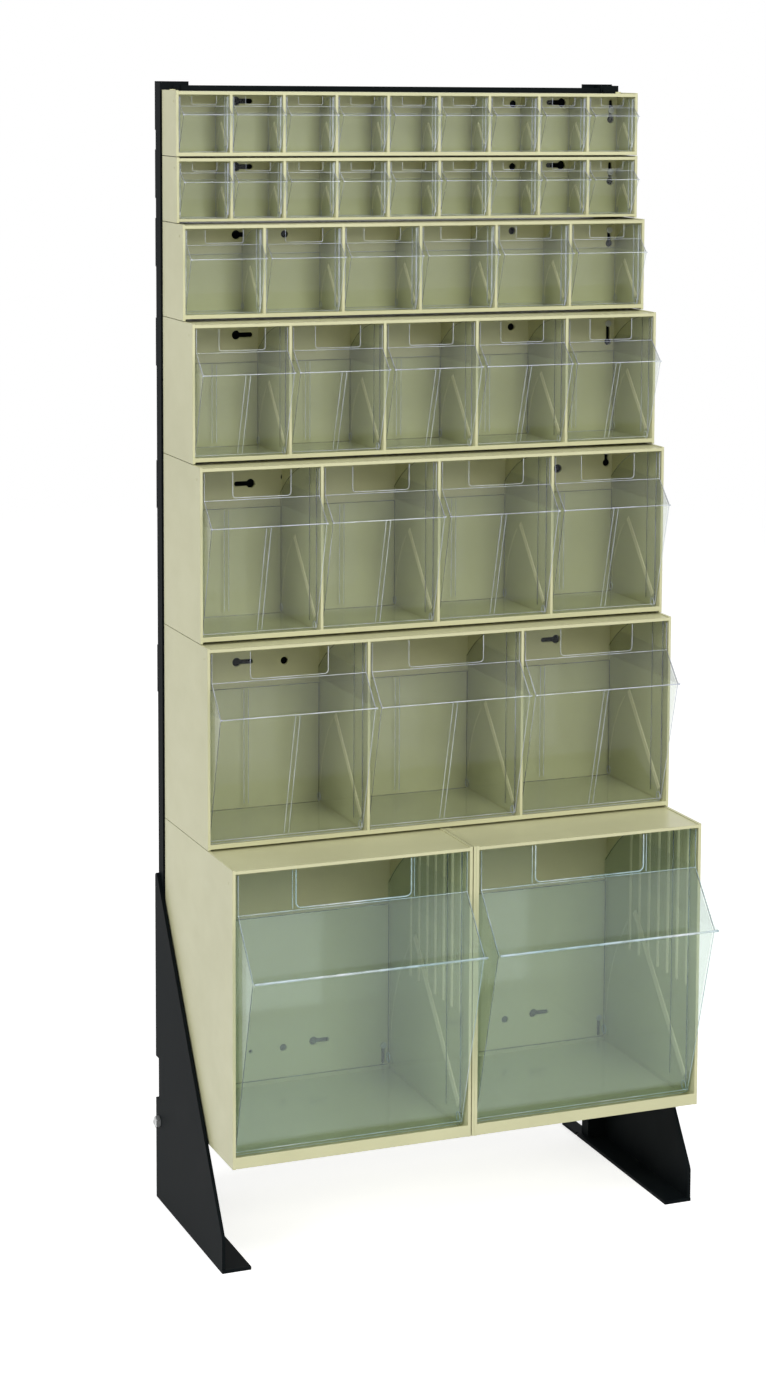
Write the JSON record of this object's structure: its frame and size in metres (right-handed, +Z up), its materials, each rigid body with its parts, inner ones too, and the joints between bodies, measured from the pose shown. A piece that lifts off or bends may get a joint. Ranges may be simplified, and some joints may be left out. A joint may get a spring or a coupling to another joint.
{
  "type": "store tilt out bin",
  "caption": "Floor stand carrying rows of moulded housings with clear bins that tip forward on pins for small goods.",
  "frame": {"origin": "middle of the whole outline, on the floor that the stand's feet rest on", "axes": "+Z up, +X to the right of someone who faces the bins, +Y from the bins' fronts towards the rails behind them"},
  "size_m": [0.621, 0.3964, 1.3825],
  "materials": {
    "black_coat": "black powder coat with a soft satin sheen",
    "ivory_plastic": "ivory moulded plastic, smooth and slightly glossy",
    "clear_plastic": "clear moulded plastic with a faint blue-green tint and bright edges",
    "zinc": "bright zinc plate"
  },
  "bodies": {
    "stand": {"upright_left": "black_coat", "upright_right": "black_coat", "leg_left": "black_coat", "leg_right": "black_coat", "rail_row1": "black_coat", "rail_row2": "black_coat", "rail_row3": "black_coat", "rail_row4": "black_coat", "rail_row5": "black_coat", "rail_row6": "black_coat", "rail_row7": "black_coat", "rail_bolts": "black_coat", "leg_bolts": "zinc", "hanging_screws": "zinc", "housing_row1": "ivory_plastic", "housing_row2": "ivory_plastic", "housing_row3": "ivory_plastic", "housing_row4": "ivory_plastic", "housing_row5": "ivory_plastic", "housing_row6": "ivory_plastic", "housing_row7_left": "ivory_plastic", "housing_row7_right": "ivory_plastic"},
    "bin_r1_1": {"bin_r1_1": "clear_plastic"},
    "bin_r1_2": {"bin_r1_2": "clear_plastic"},
    "bin_r1_3": {"bin_r1_3": "clear_plastic"},
    "bin_r1_4": {"bin_r1_4": "clear_plastic"},
    "bin_r1_5": {"bin_r1_5": "clear_plastic"},
    "bin_r1_6": {"bin_r1_6": "clear_plastic"},
    "bin_r1_7": {"bin_r1_7": "clear_plastic"},
    "bin_r1_8": {"bin_r1_8": "clear_plastic"},
    "bin_r1_9": {"bin_r1_9": "clear_plastic"},
    "bin_r2_1": {"bin_r2_1": "clear_plastic"},
    "bin_r2_2": {"bin_r2_2": "clear_plastic"},
    "bin_r2_3": {"bin_r2_3": "clear_plastic"},
    "bin_r2_4": {"bin_r2_4": "clear_plastic"},
    "bin_r2_5": {"bin_r2_5": "clear_plastic"},
    "bin_r2_6": {"bin_r2_6": "clear_plastic"},
    "bin_r2_7": {"bin_r2_7": "clear_plastic"},
    "bin_r2_8": {"bin_r2_8": "clear_plastic"},
    "bin_r2_9": {"bin_r2_9": "clear_plastic"},
    "bin_r3_1": {"bin_r3_1": "clear_plastic"},
    "bin_r3_2": {"bin_r3_2": "clear_plastic"},
    "bin_r3_3": {"bin_r3_3": "clear_plastic"},
    "bin_r3_4": {"bin_r3_4": "clear_plastic"},
    "bin_r3_5": {"bin_r3_5": "clear_plastic"},
    "bin_r3_6": {"bin_r3_6": "clear_plastic"},
    "bin_r4_1": {"bin_r4_1": "clear_plastic"},
    "bin_r4_2": {"bin_r4_2": "clear_plastic"},
    "bin_r4_3": {"bin_r4_3": "clear_plastic"},
    "bin_r4_4": {"bin_r4_4": "clear_plastic"},
    "bin_r4_5": {"bin_r4_5": "clear_plastic"},
    "bin_r5_1": {"bin_r5_1": "clear_plastic"},
    "bin_r5_2": {"bin_r5_2": "clear_plastic"},
    "bin_r5_3": {"bin_r5_3": "clear_plastic"},
    "bin_r5_4": {"bin_r5_4": "clear_plastic"},
    "bin_r6_1": {"bin_r6_1": "clear_plastic"},
    "bin_r6_2": {"bin_r6_2": "clear_plastic"},
    "bin_r6_3": {"bin_r6_3": "clear_plastic"},
    "bin_r7_1": {"bin_r7_1": "clear_plastic"},
    "bin_r7_2": {"bin_r7_2": "clear_plastic"}
  },
  "joints": [
    {"name": "tilt_r1_1", "type": "hinge", "parent": "stand", "child": "bin_r1_1", "pos_m": [-0.26533, 0.08097, 1.30225], "axis": [1, 0, 0], "range_deg": [0, 48]},
    {"name": "tilt_r1_2", "type": "hinge", "parent": "stand", "child": "bin_r1_2", "pos_m": [-0.199, 0.08097, 1.30225], "axis": [1, 0, 0], "range_deg": [0, 48]},
    {"name": "tilt_r1_3", "type": "hinge", "parent": "stand", "child": "bin_r1_3", "pos_m": [-0.13267, 0.08097, 1.30225], "axis": [1, 0, 0], "range_deg": [0, 48]},
    {"name": "tilt_r1_4", "type": "hinge", "parent": "stand", "child": "bin_r1_4", "pos_m": [-0.06633, 0.08097, 1.30225], "axis": [1, 0, 0], "range_deg": [0, 48]},
    {"name": "tilt_r1_5", "type": "hinge", "parent": "stand", "child": "bin_r1_5", "pos_m": [0, 0.08097, 1.30225], "axis": [1, 0, 0], "range_deg": [0, 48]},
    {"name": "tilt_r1_6", "type": "hinge", "parent": "stand", "child": "bin_r1_6", "pos_m": [0.06633, 0.08097, 1.30225], "axis": [1, 0, 0], "range_deg": [0, 48]},
    {"name": "tilt_r1_7", "type": "hinge", "parent": "stand", "child": "bin_r1_7", "pos_m": [0.13267, 0.08097, 1.30225], "axis": [1, 0, 0], "range_deg": [0, 48]},
    {"name": "tilt_r1_8", "type": "hinge", "parent": "stand", "child": "bin_r1_8", "pos_m": [0.199, 0.08097, 1.30225], "axis": [1, 0, 0], "range_deg": [0, 48]},
    {"name": "tilt_r1_9", "type": "hinge", "parent": "stand", "child": "bin_r1_9", "pos_m": [0.26533, 0.08097, 1.30225], "axis": [1, 0, 0], "range_deg": [0, 48]},
    {"name": "tilt_r2_1", "type": "hinge", "parent": "stand", "child": "bin_r2_1", "pos_m": [-0.26533, 0.07946, 1.22414], "axis": [1, 0, 0], "range_deg": [0, 48]},
    {"name": "tilt_r2_2", "type": "hinge", "parent": "stand", "child": "bin_r2_2", "pos_m": [-0.199, 0.07946, 1.22414], "axis": [1, 0, 0], "range_deg": [0, 48]},
    {"name": "tilt_r2_3", "type": "hinge", "parent": "stand", "child": "bin_r2_3", "pos_m": [-0.13267, 0.07946, 1.22414], "axis": [1, 0, 0], "range_deg": [0, 48]},
    {"name": "tilt_r2_4", "type": "hinge", "parent": "stand", "child": "bin_r2_4", "pos_m": [-0.06633, 0.07946, 1.22414], "axis": [1, 0, 0], "range_deg": [0, 48]},
    {"name": "tilt_r2_5", "type": "hinge", "parent": "stand", "child": "bin_r2_5", "pos_m": [0, 0.07946, 1.22414], "axis": [1, 0, 0], "range_deg": [0, 48]},
    {"name": "tilt_r2_6", "type": "hinge", "parent": "stand", "child": "bin_r2_6", "pos_m": [0.06633, 0.07946, 1.22414], "axis": [1, 0, 0], "range_deg": [0, 48]},
    {"name": "tilt_r2_7", "type": "hinge", "parent": "stand", "child": "bin_r2_7", "pos_m": [0.13267, 0.07946, 1.22414], "axis": [1, 0, 0], "range_deg": [0, 48]},
    {"name": "tilt_r2_8", "type": "hinge", "parent": "stand", "child": "bin_r2_8", "pos_m": [0.199, 0.07946, 1.22414], "axis": [1, 0, 0], "range_deg": [0, 48]},
    {"name": "tilt_r2_9", "type": "hinge", "parent": "stand", "child": "bin_r2_9", "pos_m": [0.26533, 0.07946, 1.22414], "axis": [1, 0, 0], "range_deg": [0, 48]},
    {"name": "tilt_r3_1", "type": "hinge", "parent": "stand", "child": "bin_r3_1", "pos_m": [-0.24875, 0.05781, 1.11276], "axis": [1, 0, 0], "range_deg": [0, 48]},
    {"name": "tilt_r3_2", "type": "hinge", "parent": "stand", "child": "bin_r3_2", "pos_m": [-0.14925, 0.05781, 1.11276], "axis": [1, 0, 0], "range_deg": [0, 48]},
    {"name": "tilt_r3_3", "type": "hinge", "parent": "stand", "child": "bin_r3_3", "pos_m": [-0.04975, 0.05781, 1.11276], "axis": [1, 0, 0], "range_deg": [0, 48]},
    {"name": "tilt_r3_4", "type": "hinge", "parent": "stand", "child": "bin_r3_4", "pos_m": [0.04975, 0.05781, 1.11276], "axis": [1, 0, 0], "range_deg": [0, 48]},
    {"name": "tilt_r3_5", "type": "hinge", "parent": "stand", "child": "bin_r3_5", "pos_m": [0.14925, 0.05781, 1.11276], "axis": [1, 0, 0], "range_deg": [0, 48]},
    {"name": "tilt_r3_6", "type": "hinge", "parent": "stand", "child": "bin_r3_6", "pos_m": [0.24875, 0.05781, 1.11276], "axis": [1, 0, 0], "range_deg": [0, 48]},
    {"name": "tilt_r4_1", "type": "hinge", "parent": "stand", "child": "bin_r4_1", "pos_m": [-0.2388, 0.02335, 0.94825], "axis": [1, 0, 0], "range_deg": [0, 48]},
    {"name": "tilt_r4_2", "type": "hinge", "parent": "stand", "child": "bin_r4_2", "pos_m": [-0.1194, 0.02335, 0.94825], "axis": [1, 0, 0], "range_deg": [0, 48]},
    {"name": "tilt_r4_3", "type": "hinge", "parent": "stand", "child": "bin_r4_3", "pos_m": [0, 0.02335, 0.94825], "axis": [1, 0, 0], "range_deg": [0, 48]},
    {"name": "tilt_r4_4", "type": "hinge", "parent": "stand", "child": "bin_r4_4", "pos_m": [0.1194, 0.02335, 0.94825], "axis": [1, 0, 0], "range_deg": [0, 48]},
    {"name": "tilt_r4_5", "type": "hinge", "parent": "stand", "child": "bin_r4_5", "pos_m": [0.2388, 0.02335, 0.94825], "axis": [1, 0, 0], "range_deg": [0, 48]},
    {"name": "tilt_r5_1", "type": "hinge", "parent": "stand", "child": "bin_r5_1", "pos_m": [-0.22387, -0.00294, 0.74066], "axis": [1, 0, 0], "range_deg": [0, 48]},
    {"name": "tilt_r5_2", "type": "hinge", "parent": "stand", "child": "bin_r5_2", "pos_m": [-0.07463, -0.00294, 0.74066], "axis": [1, 0, 0], "range_deg": [0, 48]},
    {"name": "tilt_r5_3", "type": "hinge", "parent": "stand", "child": "bin_r5_3", "pos_m": [0.07462, -0.00294, 0.74066], "axis": [1, 0, 0], "range_deg": [0, 48]},
    {"name": "tilt_r5_4", "type": "hinge", "parent": "stand", "child": "bin_r5_4", "pos_m": [0.22387, -0.00294, 0.74066], "axis": [1, 0, 0], "range_deg": [0, 48]},
    {"name": "tilt_r6_1", "type": "hinge", "parent": "stand", "child": "bin_r6_1", "pos_m": [-0.199, -0.02861, 0.49887], "axis": [1, 0, 0], "range_deg": [0, 48]},
    {"name": "tilt_r6_2", "type": "hinge", "parent": "stand", "child": "bin_r6_2", "pos_m": [0, -0.02861, 0.49887], "axis": [1, 0, 0], "range_deg": [0, 48]},
    {"name": "tilt_r6_3", "type": "hinge", "parent": "stand", "child": "bin_r6_3", "pos_m": [0.199, -0.02861, 0.49887], "axis": [1, 0, 0], "range_deg": [0, 48]},
    {"name": "tilt_r7_1", "type": "hinge", "parent": "stand", "child": "bin_r7_1", "pos_m": [-0.1511, -0.11583, 0.15219], "axis": [1, 0, 0], "range_deg": [0, 48]},
    {"name": "tilt_r7_2", "type": "hinge", "parent": "stand", "child": "bin_r7_2", "pos_m": [0.1511, -0.11583, 0.15219], "axis": [1, 0, 0], "range_deg": [0, 48]}
  ]
}
